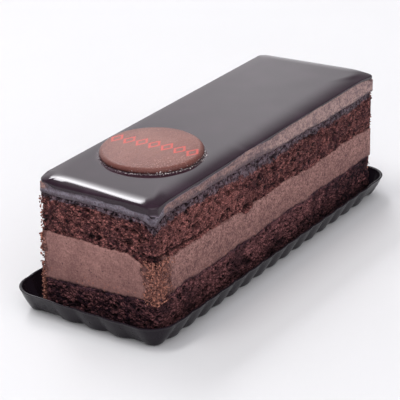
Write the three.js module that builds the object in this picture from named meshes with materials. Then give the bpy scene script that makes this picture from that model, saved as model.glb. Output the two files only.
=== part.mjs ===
// A long chocolate slice cake on its own black fluted tray.
// Two dark sponges, a thick and a thin band of mousse, a mirror glaze that rolls
// over the edges, and a thin round of chocolate lying on the glaze.
//
// Millimetres, +Z up. The origin is on the ground at the middle of the tray.
// +X runs along the slice, away from the end that is nearest the round.

import * as THREE from 'three';

// The cut slice: its middle, its plan size and the skew of its far end
const sliceX = 1.3;
const sliceY = -1.2;
const sliceLength = 120.8;
const sliceWidth = 39.5;
const farEndSkew = 1.8;
const cutCornerRadius = 1;
const seamGap = 0.12;
const seamRingInset = 1.5;
const seamRingTrim = 1.7;

// How far each layer's faces stand outside the cut planes, and how much shorter it is
// at the far end, which leans in towards the tray
const lowerSpongeOutset = 0.2;
const lowerSpongeTrim = 1.7;
const mousseOutset = 0.35;
const mousseTrim = 1.2;
const upperSpongeOutset = 0.1;
const upperSpongeTrim = 0.5;
const topMousseOutset = 0.2;
const glazeOutset = 0.4;

// Heights of the seams between the layers: the middle height, the fall or rise for
// each millimetre along X and Y, and one slow wave with a quicker ripple on it
const lowerSeam = { middle: 12, alongX: 0.011, alongY: -0.05, wave: 0.4, length: 19, phase: 0.6 };
const middleSeam = { middle: 23.2, alongX: -0.012, alongY: 0.04, wave: 0.5, length: 27, phase: 2.1 };
const upperSeam = { middle: 36.7, alongX: -0.02, alongY: 0.02, wave: 0.25, length: 34, phase: 0.9 };

// The glaze: its level top, its rolled shoulder and its lower edge
const glazeTop = 42.2;
const glazeBed = 40.9;
const glazeBedInset = 3;
const glazeCornerRadius = 2.4;
const lipThickness = 0.8;
const sideShoulder = { width: 5, drop: 0.95, lipDrop: 1.5 };
const endShoulder = { width: 2.6, drop: 1.9, lipDrop: 2.8 };
const dripDrop = 2.6;
const dripReach = 3.2;
const seamDipUnderDrip = 1.7;
const lipWave = 0.3;
const lipWaveLength = 9;

// The round of chocolate on top
const roundX = -29.7;
const roundY = 0.3;
const roundRadius = 15.3;
const roundThickness = 2;
const roundCrown = 0.35;
const roundEdge = 1.3;
const roundFoot = 0.5;

// The tray: rim, foot, and the convex flutes of its flared wall
const trayHeight = 7.2;
const trayWall = 0.5;
const trayRim = { length: 132.8, width: 53.7, cornerRadius: 8.7 };
const trayFoot = { length: 123.6, width: 44.2, cornerRadius: 3.4 };
const trayFootRound = 0.9;
const trayFlare = 1.3;
const trayWallHeights = [0.8, 3.2, trayHeight];
const trayFloorEdgeHeight = 1.2;
const sideFlutes = 15;
const sideFluteRun = 110.4;
const sideFluteShift = -2;
const endFlutes = 3;
const endFluteRun = 25.4;
const endFluteShift = -1.5;
const fluteDepthAtRim = 0.3;
const fluteDepthAtFoot = 1.3;

// Facets round each outline
const sideSteps = 34;
const endSteps = 12;
const cornerSteps = 4;
const stepsPerFlute = 4;
const trayCornerSteps = 10;
const roundSegments = 48;
const roundEdgeSteps = 4;
const shoulderSteps = 4;

// Relief of the cut crumb: depth, and the wavelengths along and up the face
const spongeRelief = 0.34;
const mousseRelief = 0.08;
const reliefLength = 8.5;
const reliefHeight = 6.5;

const mix = (from, to, share) => from + (to - from) * share;

// A station is a place on any rounded rectangle: ax and ay run from -1 to 1 along the
// straight sides, and nx and ny are the outward direction, so that a rectangle of any
// size and corner radius is read from the same list.
function cornerStations(signX, signY, startAngle, steps) {
  const list = [];
  for (let i = 0; i <= steps; i += 1) {
    const angle = startAngle + (Math.PI / 2) * (i / steps);
    list.push({ ax: signX, ay: signY, nx: Math.cos(angle), ny: Math.sin(angle) });
  }
  return list;
}

// Inner points of one straight side, from the fractions given along it; a shift moves
// them all the same way along X or Y, whichever side they are on
function sideStations(side, fractions, shift = 0) {
  return fractions.map((f) => ({
    ax: side.ny === 0 ? side.nx : shift - side.ny * f,
    ay: side.nx === 0 ? side.ny : shift + side.nx * f,
    nx: side.nx,
    ny: side.ny,
  }));
}

// Anticlockwise from above, starting on the far end
const sides = [
  { nx: 1, ny: 0, corner: [1, 1], startAngle: 0 },
  { nx: 0, ny: 1, corner: [-1, 1], startAngle: Math.PI / 2 },
  { nx: -1, ny: 0, corner: [-1, -1], startAngle: Math.PI },
  { nx: 0, ny: -1, corner: [1, -1], startAngle: 1.5 * Math.PI },
];

// Evenly spread points between the ends of a side, as fractions from -1 to 1
function evenFractions(steps, reach = 1) {
  return Array.from({ length: steps - 1 }, (_, i) => reach * (-1 + (2 * (i + 1)) / steps));
}

// Stations of the slice's outline
function sliceStations() {
  return sides.flatMap((side) => {
    const along = evenFractions(side.nx === 0 ? sideSteps : endSteps);
    const corner = cornerStations(...side.corner, side.startAngle, cornerSteps);
    return [...sideStations(side, along), ...corner];
  });
}

// A point of the rounded rectangle at one station
function outlinePoint(station, halfLength, halfWidth, radius) {
  return {
    x: station.ax * (halfLength - radius) + station.nx * radius,
    y: station.ay * (halfWidth - radius) + station.ny * radius,
  };
}

// A point of the slice's outline, inset from the cut planes, with its far end skewed
// and trimmed
function slicePoint(station, inset, trim = 0, radius = cutCornerRadius) {
  const halfLength = sliceLength / 2;
  const halfWidth = sliceWidth / 2;
  const point = outlinePoint(station, halfLength - inset, halfWidth - inset, radius);
  const farShare = Math.max(0, point.x / halfLength);
  const shift = farShare * (trim + farEndSkew * point.y / halfWidth);
  return { x: sliceX + point.x - shift, y: sliceY + point.y };
}

// The height of a seam at a place in the plan
function seamHeight(seam, x, y) {
  const slope = seam.middle + seam.alongX * x + seam.alongY * y;
  const wave = Math.sin(x / seam.length * 2 * Math.PI + seam.phase + y / 15);
  const ripple = Math.sin(x / seam.length * 5.3 * Math.PI + 2 * seam.phase - y / 9);
  return slope + seam.wave * (wave + 0.4 * ripple);
}

// How strongly the drip at the near front corner of the glaze acts at a place
function dripShare(x, y) {
  const dx = x - (sliceX - sliceLength / 2);
  const dy = y - (sliceY - sliceWidth / 2);
  return Math.exp(-(dx * dx + dy * dy) / (dripReach * dripReach));
}

// The lower edge of the glaze at a station: low on the ends, higher on the sides
function glazeEdge(station) {
  const { x, y } = slicePoint(station, 0);
  const endShare = station.nx * station.nx;
  const drop = mix(sideShoulder.lipDrop, endShoulder.lipDrop, endShare);
  const wave = lipWave * Math.sin(x / lipWaveLength + y / 4) * Math.sin(x / 23 + 0.8);
  return glazeTop - drop + wave - dripDrop * dripShare(x, y);
}

// Shallow crags of a cut face, the same for the same place: two crossed waves that run
// out of step along and up the face
function crag(x, y, z) {
  const along = 2 * Math.PI * (x + y) / reliefLength;
  const up = 2 * Math.PI * z / reliefHeight;
  const coarse = Math.sin(along / 3 + Math.sin(up / 3)) * Math.cos(up / 2 + along / 9);
  const fine = Math.sin(along - up);
  return (2 * coarse + fine) / 3;
}

// The two triangles between neighbouring points of two rings. The diagonal always runs
// from this station of the outer ring to the next one of the inner ring, so that two
// layers that meet along a seam are faceted alike.
function bandFacets(points, low, high, lowNext, highNext) {
  const reach = (i) => Math.hypot(points[i].x, points[i].y);
  if (reach(high) > reach(low)) {
    return [low, lowNext, high, lowNext, highNext, high];
  }
  return [low, lowNext, highNext, low, highNext, high];
}

// A closed solid from rings of equal length, with a centre point at each end.
// The rings run anticlockwise from above, from under the solid outwards and over it.
function ringSolid(rings, firstCentre, lastCentre) {
  const count = rings[0].length;
  const points = [...rings.flat(), firstCentre, lastCentre];
  const first = rings.length * count;
  const top = first - count;
  const index = [];
  for (let k = 0; k < count; k += 1) {
    const next = (k + 1) % count;
    index.push(first, next, k);
    for (let low = 0; low < top; low += count) {
      const high = low + count;
      index.push(...bandFacets(points, low + k, high + k, low + next, high + next));
    }
    index.push(top + k, top + next, first + 1);
  }
  const geometry = new THREE.BufferGeometry();
  const position = new Float32Array(points.flatMap((p) => [p.x, p.y, p.z]));
  geometry.setAttribute('position', new THREE.BufferAttribute(position, 3));
  geometry.setIndex(index);
  geometry.computeVertexNormals();
  return geometry;
}

const stations = sliceStations();

// A ring of the slice at an inset and a trim, at the height that a function gives
function sliceRing(inset, trim, height, radius = cutCornerRadius) {
  return stations.map((station) => {
    const { x, y } = slicePoint(station, inset, trim, radius);
    return { x, y, z: height(x, y, station) };
  });
}

// A ring of a layer's side face, a share of the way up it. Crags dent it inwards, most
// at mid height, and the lowest ring is lifted a little to ease the edge.
function faceRing(layer, share) {
  return stations.map((station) => {
    const edge = slicePoint(station, layer.inset, layer.trim);
    const low = layer.bottom(edge.x, edge.y, station) + layer.easing;
    const high = layer.top(edge.x, edge.y, station);
    const z = mix(low, high, share);
    const dent = layer.relief * Math.sqrt(Math.sin(Math.PI * share)) * (0.6 + crag(edge.x, edge.y, z));
    const { x, y } = slicePoint(station, layer.inset + dent, layer.trim);
    return { x, y, z };
  });
}

// One layer of the slice between two height functions. Its bottom and top are fans
// whose outer rings lie where the neighbouring layer has its own, so that the gap
// between the two is even.
function layerSolid(layer, topRings, topCentreHeight) {
  const faces = Array.from({ length: layer.faceSteps + 1 }, (_, i) => faceRing(layer, i / layer.faceSteps));
  const bottomRing = sliceRing(seamRingInset, seamRingTrim, layer.bottom);
  const bottomCentre = { x: sliceX, y: sliceY, z: layer.bottom(sliceX, sliceY) };
  const topCentre = { x: sliceX, y: sliceY, z: topCentreHeight };
  return ringSolid([bottomRing, ...faces, ...topRings], bottomCentre, topCentre);
}

// A layer whose top is a plain seam
function seamedLayer(layer) {
  const topRing = sliceRing(seamRingInset, seamRingTrim, layer.top);
  return layerSolid(layer, [topRing], layer.top(sliceX, sliceY));
}

// Heights of the layers' faces, with the gap shared between neighbours
const onTray = () => trayWall + seamGap;
const lowerSeamAt = (x, y) => seamHeight(lowerSeam, x, y);
const middleSeamAt = (x, y) => seamHeight(middleSeam, x, y);
const upperSeamAt = (x, y) => seamHeight(upperSeam, x, y) - seamDipUnderDrip * dripShare(x, y);
const under = (seamAt) => (x, y) => seamAt(x, y) - seamGap / 2;
const over = (seamAt) => (x, y) => seamAt(x, y) + seamGap / 2;

function lowerSpongeGeometry() {
  return seamedLayer({
    bottom: onTray,
    top: under(lowerSeamAt),
    inset: -lowerSpongeOutset,
    trim: lowerSpongeTrim,
    easing: 0.25,
    relief: spongeRelief,
    faceSteps: 5,
  });
}

function mousseGeometry() {
  return seamedLayer({
    bottom: over(lowerSeamAt),
    top: under(middleSeamAt),
    inset: -mousseOutset,
    trim: mousseTrim,
    easing: 0.15,
    relief: mousseRelief,
    faceSteps: 3,
  });
}

function upperSpongeGeometry() {
  return seamedLayer({
    bottom: over(middleSeamAt),
    top: under(upperSeamAt),
    inset: -upperSpongeOutset,
    trim: upperSpongeTrim,
    easing: 0.15,
    relief: spongeRelief,
    faceSteps: 5,
  });
}

// The thin mousse meets the glaze: low along its outer edge, level further in
function topMousseGeometry() {
  const layer = {
    bottom: over(upperSeamAt),
    top: (x, y, station) => glazeEdge(station) - seamGap,
    inset: -topMousseOutset,
    trim: 0,
    easing: 0.15,
    relief: mousseRelief,
    faceSteps: 2,
  };
  const bedHeight = glazeBed - seamGap;
  const edgeRing = sliceRing(lipThickness, 0, layer.top);
  const bedRing = sliceRing(glazeBedInset, 0, () => bedHeight);
  return layerSolid(layer, [edgeRing, bedRing], bedHeight);
}

// The outer surface of the glaze: a quarter oval from the level top down to its widest
// line, broad and shallow over the sides, tight and deep over the ends
function shoulderRing(share) {
  return stations.map((station) => {
    const endShare = station.nx * station.nx;
    const width = mix(sideShoulder.width, endShoulder.width, endShare);
    const drop = mix(sideShoulder.drop, endShoulder.drop, endShare);
    const angle = share * Math.PI / 2;
    const inset = width * (1 - Math.cos(angle)) - glazeOutset;
    const { x, y } = slicePoint(station, inset, 0, glazeCornerRadius);
    const sag = dripDrop * dripShare(x, y) * Math.cos(angle);
    return { x, y, z: glazeTop - drop * (1 - Math.sin(angle)) - sag };
  });
}

// The glaze is a skin over the thin mousse, thicker where it rolls over the edge
function glazeGeometry() {
  const onEdge = (lift) => (x, y, station) => glazeEdge(station) + lift;
  const bedRing = sliceRing(glazeBedInset, 0, () => glazeBed);
  const edgeRings = [
    sliceRing(lipThickness, 0, onEdge(0)),
    sliceRing(-glazeOutset * 0.5, 0, onEdge(0)),
    sliceRing(-glazeOutset, 0, onEdge(0.2), glazeCornerRadius),
  ];
  const shoulderRings = Array.from({ length: shoulderSteps + 1 }, (_, i) => {
    return shoulderRing(i / shoulderSteps);
  });
  const bedCentre = { x: sliceX, y: sliceY, z: glazeBed };
  const topCentre = { x: sliceX, y: sliceY, z: glazeTop };
  return ringSolid([bedRing, ...edgeRings, ...shoulderRings], bedCentre, topCentre);
}

// A thin disc with a soft edge and a slightly crowned face
function roundGeometry() {
  const base = glazeTop + seamGap;
  const face = base + roundThickness;
  const profile = [
    new THREE.Vector2(0, base),
    new THREE.Vector2(roundRadius - roundFoot, base),
    new THREE.Vector2(roundRadius, base + roundFoot),
  ];
  for (let i = 0; i <= roundEdgeSteps; i += 1) {
    const angle = (Math.PI / 2) * (i / roundEdgeSteps);
    const radius = roundRadius - roundEdge * (1 - Math.cos(angle));
    profile.push(new THREE.Vector2(radius, face - roundEdge * (1 - Math.sin(angle))));
  }
  for (const share of [0.5, 0]) {
    profile.push(new THREE.Vector2(roundRadius * share, face + roundCrown * (1 - share * share)));
  }
  const geometry = new THREE.LatheGeometry(profile, roundSegments);
  geometry.rotateX(Math.PI / 2);
  geometry.translate(roundX, roundY, 0);
  return geometry;
}

// Stations of the tray: every flute takes equal steps, and each corner is one broad flute
function trayStations() {
  return sides.flatMap((side) => {
    const isEnd = side.ny === 0;
    const flutes = isEnd ? endFlutes : sideFlutes;
    const run = isEnd ? endFluteRun : sideFluteRun;
    const straight = (isEnd ? trayRim.width : trayRim.length) - 2 * trayRim.cornerRadius;
    const reach = run / straight;
    const shift = (isEnd ? endFluteShift : sideFluteShift) * 2 / straight;
    const along = [-reach, ...evenFractions(flutes * stepsPerFlute, reach), reach];
    const fluted = sideStations(side, along, shift).map((station, i) => ({
      ...station,
      bulge: Math.abs(Math.sin(Math.PI * i / stepsPerFlute)),
    }));
    const corner = cornerStations(...side.corner, side.startAngle, trayCornerSteps).map((station, i) => ({
      ...station,
      bulge: Math.sin(Math.PI * (i + 1) / (trayCornerSteps + 2)),
    }));
    return [...fluted, ...corner];
  });
}

// One ring of the tray at a height, inside the outer face by a wall's thickness or more
function trayRing(list, height, inward) {
  const share = height / trayHeight;
  const flare = share * mix(trayFlare, 1, share);
  const halfLength = mix(trayFoot.length, trayRim.length, flare) / 2 - inward;
  const halfWidth = mix(trayFoot.width, trayRim.width, flare) / 2 - inward;
  const radius = mix(trayFoot.cornerRadius, trayRim.cornerRadius, flare) - inward / 2;
  const depth = mix(fluteDepthAtFoot, fluteDepthAtRim, share);
  return list.map((station) => {
    const { x, y } = outlinePoint(station, halfLength, halfWidth, radius);
    const out = depth * station.bulge;
    return { x: x + station.nx * out, y: y + station.ny * out, z: height };
  });
}

function trayGeometry() {
  const list = trayStations();
  const outer = trayWallHeights.map((height) => trayRing(list, height, 0));
  const [, middleHeight, rimHeight] = trayWallHeights;
  const innerHeights = [rimHeight, middleHeight, trayFloorEdgeHeight];
  const inner = innerHeights.map((height) => trayRing(list, height, trayWall));
  const foot = trayRing(list, 0, trayFootRound);
  const floorEdge = trayRing(list, trayWall, trayWall + trayFootRound / 2);
  const footCentre = { x: 0, y: 0, z: 0 };
  const floorCentre = { x: 0, y: 0, z: trayWall };
  return ringSolid([foot, ...outer, ...inner, floorEdge], footCentre, floorCentre);
}

function piece(name, geometry, color, roughness, metalness = 0) {
  const material = new THREE.MeshStandardMaterial({ color, roughness, metalness });
  const mesh = new THREE.Mesh(geometry, material);
  mesh.name = name;
  return mesh;
}

const cake = new THREE.Group();
cake.add(piece('tray', trayGeometry(), 0x1d1b20, 0.25));
cake.add(piece('lower_sponge', lowerSpongeGeometry(), 0x2b1613, 0.95));
cake.add(piece('mousse', mousseGeometry(), 0x7a5450, 0.75));
cake.add(piece('upper_sponge', upperSpongeGeometry(), 0x4a2a26, 0.95));
cake.add(piece('top_mousse', topMousseGeometry(), 0x87635f, 0.7));
cake.add(piece('glaze', glazeGeometry(), 0x1c1012, 0.06));
cake.add(piece('chocolate_round', roundGeometry(), 0x8f625a, 0.45));

export default cake;
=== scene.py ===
import math

import bpy
import numpy as np
from mathutils import Matrix, Vector


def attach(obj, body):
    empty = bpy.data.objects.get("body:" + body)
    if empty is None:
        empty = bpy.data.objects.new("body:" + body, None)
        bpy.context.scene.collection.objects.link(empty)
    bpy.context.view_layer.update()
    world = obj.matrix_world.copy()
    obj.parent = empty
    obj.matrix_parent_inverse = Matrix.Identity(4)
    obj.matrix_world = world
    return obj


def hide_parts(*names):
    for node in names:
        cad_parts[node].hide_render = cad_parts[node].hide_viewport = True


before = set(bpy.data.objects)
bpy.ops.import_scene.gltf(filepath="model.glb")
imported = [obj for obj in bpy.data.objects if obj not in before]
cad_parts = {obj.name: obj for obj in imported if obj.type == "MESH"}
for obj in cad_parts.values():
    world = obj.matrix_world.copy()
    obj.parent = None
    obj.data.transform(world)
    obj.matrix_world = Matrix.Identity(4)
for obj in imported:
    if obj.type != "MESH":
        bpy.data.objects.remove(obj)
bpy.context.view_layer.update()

mm = 0.001
scene = bpy.context.scene
print("packed nodes:", ", ".join(sorted(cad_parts)))


def addObject(name, data):
    # an object of that name in the scene
    made = bpy.data.objects.new(name, data)
    scene.collection.objects.link(made)
    return made


def facing(place, side, up, back):
    # the matrix of a camera or lamp that stands at a place and looks away from its back
    return Matrix.Translation(place) @ Matrix((side, up, back)).transposed().to_4x4()


# the camera looks down at the near end and one long side
cameraSettings = {
    "target": (-7.13, -0.69, 18.89),   # mm
    "azimuth": -55.53,
    "elevation": 24.28,
    "roll": -1.31,
    "distance": 550.62,
    "lens": 162.89, "sensor": 36,
    "clip": (0.02, 20),                # m
}


def addCamera(c):
    # the eye stands back from the target along azimuth and elevation, then turns by the roll
    a, e, r = (math.radians(c[k]) for k in ("azimuth", "elevation", "roll"))
    back = Vector((math.sin(a) * math.cos(e), -math.cos(a) * math.cos(e), math.sin(e)))
    right = (-back).cross(Vector((0, 0, 1))).normalized()
    up = right.cross(-back)
    side = right * math.cos(r) + up * math.sin(r)
    top = up * math.cos(r) - right * math.sin(r)
    data = bpy.data.cameras.new("camera")
    data.lens = c["lens"]
    data.sensor_width = c["sensor"]
    data.clip_start, data.clip_end = c["clip"]
    eye = addObject("camera", data)
    eye.matrix_world = facing((Vector(c["target"]) + back * c["distance"]) * mm, side, top, back)
    scene.camera = eye


addCamera(cameraSettings)
print("camera placed")


# shader trees written as arithmetic on sockets
class Value:
    def __init__(self, tree, socket):
        self.tree = tree
        self.socket = socket

    def math(self, operation, first, second, clamp=False):
        settings = {"operation": operation, "use_clamp": clamp}
        return self.tree.node("ShaderNodeMath", settings, [first, second])

    def __add__(self, other):
        return self.math("ADD", self, other)

    def __sub__(self, other):
        return self.math("SUBTRACT", self, other)

    def __rsub__(self, other):
        return self.math("SUBTRACT", other, self)

    def __mul__(self, other):
        return self.math("MULTIPLY", self, other)

    def __truediv__(self, other):
        return self.math("DIVIDE", self, other)

    def __rtruediv__(self, other):
        return self.math("DIVIDE", other, self)

    __radd__ = __add__
    __rmul__ = __mul__

    def clamped(self):
        # cut off below 0 and above 1
        return self.math("ADD", self, 0.0, True)

    def size(self):
        return self.math("ABSOLUTE", self, 0.0)

    def fraction(self):
        # what is left above the next whole number down
        return self.math("FRACT", self, 0.0)

    def step(self, low, high):
        # 0 at low, 1 at high, smooth between them
        span = {"interpolation_type": "SMOOTHSTEP"}
        ends = {"Value": self, "From Min": low, "From Max": high}
        return self.tree.node("ShaderNodeMapRange", span, ends)

    def bell(self, middle, width):
        # 1 at the middle, 0 a width away from it
        return (self - middle).size().step(width, 0.0)


class Tree:
    def __init__(self, owner):
        owner.use_nodes = True
        self.nodes = owner.node_tree.nodes
        self.links = owner.node_tree.links

    def node(self, kind, settings=None, inputs=None, output=0):
        # settings go on the node before its sockets are filled, as some settings change them
        made = self.nodes.new(kind)
        for name, value in (settings or {}).items():
            setattr(made, name, value)
        pairs = inputs.items() if isinstance(inputs, dict) else enumerate(inputs or [])
        for key, value in pairs:
            self.fill(made.inputs[key], value)
        return Value(self, made.outputs[output])

    def fill(self, socket, value):
        # a Value is linked, anything else is set
        if isinstance(value, Value):
            self.links.new(value.socket, socket)
        else:
            socket.default_value = value

    def place(self):
        # the piece's own coordinates, in m
        return self.node("ShaderNodeTexCoord", output=3)

    def axis(self, index):
        # one coordinate of the piece, in mm
        return self.node("ShaderNodeSeparateXYZ", inputs=[self.place()], output=index) * (1 / mm)

    def attribute(self, name):
        # a number that the mesh holds at each vertex
        return self.node("ShaderNodeAttribute", {"attribute_name": name}, output=2)

    def spread(self, size, stretch, place=None):
        # the place counted in steps of that size in mm, longer along the stretched axes
        scale = [1 / mm / size / s for s in stretch]
        return self.node("ShaderNodeMapping", inputs={"Vector": place or self.place(), "Scale": scale})

    def noise(self, size, detail=2.0, rough=0.5, stretch=(1, 1, 1), output=0):
        # clouds of about that size in mm, from 0 to 1
        place = self.spread(size, stretch)
        inputs = {"Vector": place, "Scale": 1.0, "Detail": detail, "Roughness": rough}
        return self.node("ShaderNodeTexNoise", inputs=inputs, output=output)

    def pushed(self, amount, size):
        # the place, pushed about by a noise of that size, by up to half the amount in mm
        cloud = self.noise(size, 1.0, output=1)
        centred = self.node("ShaderNodeVectorMath", {"operation": "SUBTRACT"}, [cloud, (0.5, 0.5, 0.5)])
        inputs = {0: centred, "Scale": 2 * amount * mm}
        push = self.node("ShaderNodeVectorMath", {"operation": "SCALE"}, inputs)
        return self.node("ShaderNodeVectorMath", {"operation": "ADD"}, [self.place(), push])

    def cells(self, size, feature="F1", stretch=(1, 1, 1), place=None, output=0):
        # the distance to the middle of the nearest cell, or to its edge, in cell sizes
        inputs = {"Vector": self.spread(size, stretch, place), "Scale": 1.0}
        return self.node("ShaderNodeTexVoronoi", {"feature": feature}, inputs, output)

    def red(self, colour):
        return self.node("ShaderNodeSeparateColor", inputs=[colour])

    def mix(self, share, first, second):
        # colours run through a Mix node: its colour sockets are 6 and 7
        return self.node("ShaderNodeMix", {"data_type": "RGBA"}, {0: share, 6: first, 7: second}, 2)

    def over(self, colour, *coats):
        # each coat covers its share of what is under it with its own colour
        for share, coat in coats:
            colour = self.mix(share, colour, coat)
        return colour

    def bump(self, height, depth, strength=1.0):
        # depth in mm for a height of one
        inputs = {"Height": height, "Strength": strength, "Distance": depth * mm}
        return self.node("ShaderNodeBump", inputs=inputs)


def tone(r, g, b):
    # a colour as the eye reads it, 0 to 255, to linear light
    share = [v / 255 for v in (r, g, b)]
    return (*[v / 12.92 if v <= 0.04045 else ((v + 0.055) / 1.055) ** 2.4 for v in share], 1.0)


def makeMaterial(name, surface, fixed):
    # surface works out what varies; fixed holds the sockets that are one number all over
    material = bpy.data.materials.new(name)
    tree = Tree(material)
    shader = material.node_tree.nodes["Principled BSDF"]
    for socket, value in {**fixed, **surface(tree)}.items():
        tree.fill(shader.inputs[socket], value)
    return material


# numpy noise on points in mm, the same on every run
hashing = {
    "axes": (73856093, 19349663, 83492791), "seed": 668265263,
    "first": 1274126177, "second": 2246822519,
    "word": 2**32 - 1, "shares": 2**24,
}


def cellShare(index, seed):
    # a fixed share from 0 to 1 for each cell of a lattice: its whole numbers are multiplied,
    # folded into each other and mixed
    word, shares = hashing["word"], hashing["shares"]
    h = seed * hashing["seed"]
    for k, factor in enumerate(hashing["axes"]):
        h = h ^ index[..., k] * factor
    h = (h & word) * hashing["first"] & word
    h = (h ^ h >> 15) * hashing["second"] & word
    return (h ^ h >> 13 & word) % shares / shares


def valueNoise(points, size, seed):
    # random heights at the corners of cubes of that size, blended smoothly, from -1 to 1
    q = points / np.asarray(size, float)
    base = np.floor(q).astype(np.int64)
    f = q - base
    f = f * f * (3 - 2 * f)
    total = 0
    for corner in np.ndindex(2, 2, 2):
        side = np.array(corner)
        weight = np.prod(np.where(side == 1, f, 1 - f), axis=-1)
        total = total + weight * cellShare(base + side, seed)
    return 2 * total - 1


def pitField(points, size, seed, share, least=0.25, most=0.62):
    # in that share of the cells of a lattice sits one ball of random place and radius; a point
    # reads 1 at a ball's middle, falling by the square of the distance to 0 at its edge
    q = points / np.asarray(size, float)
    base = np.floor(q).astype(np.int64)
    best = np.zeros(q.shape[:-1])
    for step in np.ndindex(3, 3, 3):
        cell = base + np.array(step) - 1
        middle = cell + np.stack([cellShare(cell, seed + k) for k in (11, 12, 13)], -1)
        pick = cellShare(cell, seed + 14)
        radius = least + (most - least) * cellShare(cell, seed + 15) ** 2
        gap = ((q - middle) ** 2).sum(-1) / radius**2
        best = np.maximum(best, np.where(pick < share, 1 - gap, 0))
    return np.clip(best, 0, 1)


def smooth(value, low, high):
    # 0 at low, 1 at high, smooth between them
    t = np.clip((value - low) / (high - low), 0, 1)
    return t * t * (3 - 2 * t)


def bell(value, middle, width):
    # 1 at the middle, 1 / e a width away from it
    return np.exp(-(((value - middle) / width) ** 2))


def blend(first, second, share):
    # the first at share 0, the second at share 1
    return first + (second - first) * share


def flat(x, y):
    # points at height 0, to read a noise by
    return np.stack([x, y, np.zeros_like(x)], -1)


# meshes from whole arrays
def putMesh(name, points, corners, counts, attributes=None, faceted=False):
    # points in mm; corners are the faces' vertex numbers in one list, counts their lengths
    mesh = bpy.data.meshes.new(name)
    mesh.vertices.add(len(points))
    mesh.vertices.foreach_set("co", (points * mm).astype(np.float32).ravel())
    mesh.loops.add(len(corners))
    mesh.loops.foreach_set("vertex_index", corners.astype(np.int32))
    mesh.polygons.add(len(counts))
    starts = np.concatenate([[0], np.cumsum(counts)[:-1]])
    mesh.polygons.foreach_set("loop_start", starts.astype(np.int32))
    mesh.polygons.foreach_set("use_smooth", np.full(len(counts), not faceted))
    mesh.update(calc_edges=True)
    mesh.validate()
    for key, values in (attributes or {}).items():
        layer = mesh.attributes.new(key, "FLOAT", "POINT")
        layer.data.foreach_set("value", values.astype(np.float32).ravel())
    return addObject(name, mesh)


def ringMesh(name, rings, poles, attributes=None):
    # rings[row, column] run anticlockwise from above, from under the piece outwards and over it;
    # quads join neighbouring rings and a fan closes each end on its pole
    rows, count = rings.shape[:2]
    column = np.arange(count)
    following = (column + 1) % count
    row = np.arange(rows - 1)[:, None] * count
    quads = np.stack([row + column, row + following, row + count + following, row + count + column], -1)
    under = np.stack([np.full(count, rows * count), following, column], -1)
    over = np.stack([np.full(count, rows * count + 1), column, following], -1)
    over[:, 1:] += (rows - 1) * count
    points = np.concatenate([rings.reshape(-1, 3), np.array(poles, float)])
    corners = np.concatenate([quads.ravel(), under.ravel(), over.ravel()])
    counts = np.concatenate([np.full(quads.size // 4, 4), np.full(2 * count, 3)])
    padded = {k: np.concatenate([v.ravel(), np.zeros(2)]) for k, v in (attributes or {}).items()}
    return putMesh(name, points, corners, counts, padded)


def finishPiece(piece, material, slot, *nodes):
    # its material, the body it moves with, and the imported nodes it stands for; the slot is not used
    piece.data.materials.append(material)
    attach(piece, "root")
    if nodes:
        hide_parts(*nodes)
    faces = sum(len(p.vertices) - 2 for p in piece.data.polygons)
    print(f"{piece.name}: {faces} triangles")


# the cut slice, as in the part's source, in mm
cut = {
    "x": 1.3, "y": -1.2,
    "length": 120.8, "width": 39.5,
    "farSkew": 1.8,
    "cornerRadius": 1.0,
    "glazeTop": 42.2,
    "cragAlong": 8.5, "cragUp": 6.5,     # wave lengths of the relief
    "dripReach": 3.2,
    "capInset": 1.7, "capLift": 0.08,    # the flat caps of a layer, inside the cake
    "nearReach": (-3.0, 0.5),            # a near face's own lines begin this far from its plane
}
nearEnd = cut["x"] - cut["length"] / 2    # the cut plane at the near end
nearSide = cut["y"] - cut["width"] / 2    # the cut plane of the near long side
farSide = cut["y"] + cut["width"] / 2

# the seams between the layers, as in the part's source, and the line each of them draws on the two
# near faces: a level with ramps (rise, from, to) and bells (rise, middle, width) added. A side line
# runs from the near corner and an end line from the far corner of the near end
lowerSeam = {
    "middle": 12, "alongX": 0.011, "alongY": -0.05,
    "wave": 0.4, "length": 19, "phase": 0.6,
    "side": {
        "level": 12.5, "ramps": [(0.8, 45, 72)],
        "bells": [(0.6, 15, 2.5), (0.6, 42, 2.5), (-0.7, 80, 3), (0.3, 87, 4)],
    },
    "end": {"level": 10.2, "ramps": [(1.6, 6, 32)]},
    "torn": {"seed": 31, "coarse": 0.28, "fine": 0.22},
}
middleSeam = {
    "middle": 23.2, "alongX": -0.012, "alongY": 0.04,
    "wave": 0.5, "length": 27, "phase": 2.1,
    "side": {
        "level": 23.4, "ramps": [(-0.8, 110, 121)],
        "bells": [(1.2, 3, 4), (-1.9, 47, 3.5), (-1.0, 85, 4.5), (-0.6, 93, 4)],
    },
    "end": {"level": 25.1, "ramps": [(-0.3, 10, 26), (-2.3, 29, 38)]},
    "torn": {"seed": 41, "coarse": 0.28, "fine": 0.22},
}
upperSeam = {
    "middle": 36.7, "alongX": -0.02, "alongY": 0.02,
    "wave": 0.25, "length": 34, "phase": 0.9,
    "side": {"level": 37.2, "ramps": [(-1.2, 50, 66), (-0.6, 80, 92)], "bells": [(0.3, 9, 5)]},
    "end": {"level": 37.1},
    "torn": {"seed": 51, "coarse": 0.16, "fine": 0.12},
    "dip": 1.7,
}


def fourSides():
    # anticlockwise, from the far end: the angle and direction outwards, the direction along the
    # side, and whether it is an end
    for turn in range(4):
        start = turn * math.pi / 2
        n = np.array([round(math.cos(start)), round(math.sin(start))])
        yield start, n, np.array([-n[1], n[0]]), turn % 2 == 0


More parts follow.
